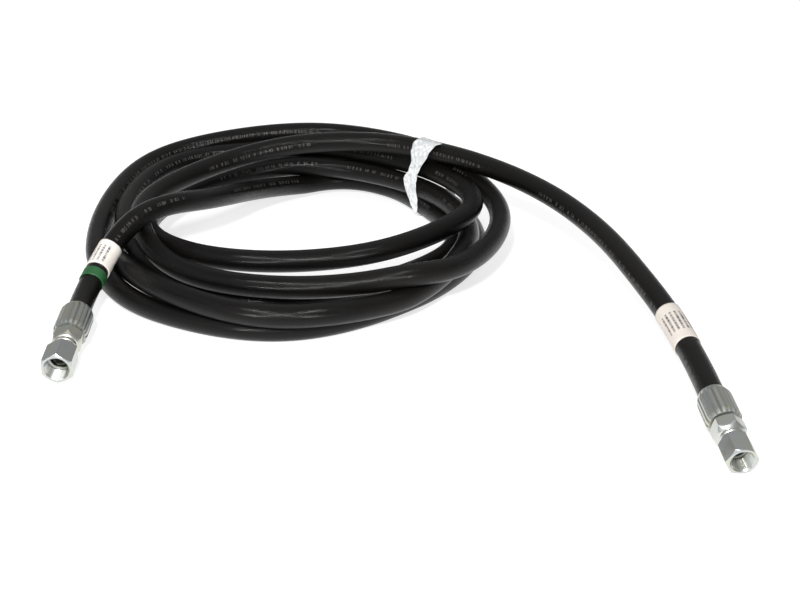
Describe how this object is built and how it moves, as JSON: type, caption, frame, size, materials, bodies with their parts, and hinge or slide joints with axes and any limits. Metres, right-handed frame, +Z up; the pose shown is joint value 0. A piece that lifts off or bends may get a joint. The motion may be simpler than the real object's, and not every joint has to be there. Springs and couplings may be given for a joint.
{
  "type": "hydraulic hose assembly",
  "caption": "Coiled wire-braid rubber hydraulic hose with a crimped ferrule and a long swivel hex nut on each end, paper sleeves, a colour band and a film tie.",
  "frame": {"origin": "middle of the footprint, on the surface that the coil lies on", "axes": "+Z up; both fittings point towards -Y; +X runs from the left fitting to the right one"},
  "size_m": [0.6028, 0.6747, 0.0911],
  "materials": {
    "cover_rubber": "satin, with a faint diagonal braid impression",
    "braid_steel": "braided wire",
    "liner_rubber": "smooth",
    "ferrule_zinc": "zinc plated, crimped",
    "stem_zinc": "zinc plated, turned",
    "nut_zinc": "zinc plated, machined",
    "label_paper": "coated paper sleeve",
    "green_tape": "satin tape",
    "tie_plastic": "crinkled stretch film"
  },
  "bodies": {
    "hose": {"hose_cover": "cover_rubber", "wire_braid": "braid_steel", "inner_tube": "liner_rubber", "ferrule_left": "ferrule_zinc", "ferrule_right": "ferrule_zinc", "stem_left": "stem_zinc", "stem_right": "stem_zinc", "label_left": "label_paper", "label_right": "label_paper", "colour_band": "green_tape", "bundle_tie": "tie_plastic"},
    "nut_left": {"swivel_nut_left": "nut_zinc"},
    "nut_right": {"swivel_nut_right": "nut_zinc"}
  },
  "joints": [
    {"name": "nut_left_spin", "type": "hinge", "parent": "hose", "child": "nut_left", "pos_m": [-0.27153, -0.1763, 0.01678], "axis": [0.0095, -0.995, -0.099], "continuous": true},
    {"name": "nut_right_spin", "type": "hinge", "parent": "hose", "child": "nut_right", "pos_m": [0.28692, -0.32375, 0.01384], "axis": [0.0832, -0.9867, -0.1399], "continuous": true}
  ]
}
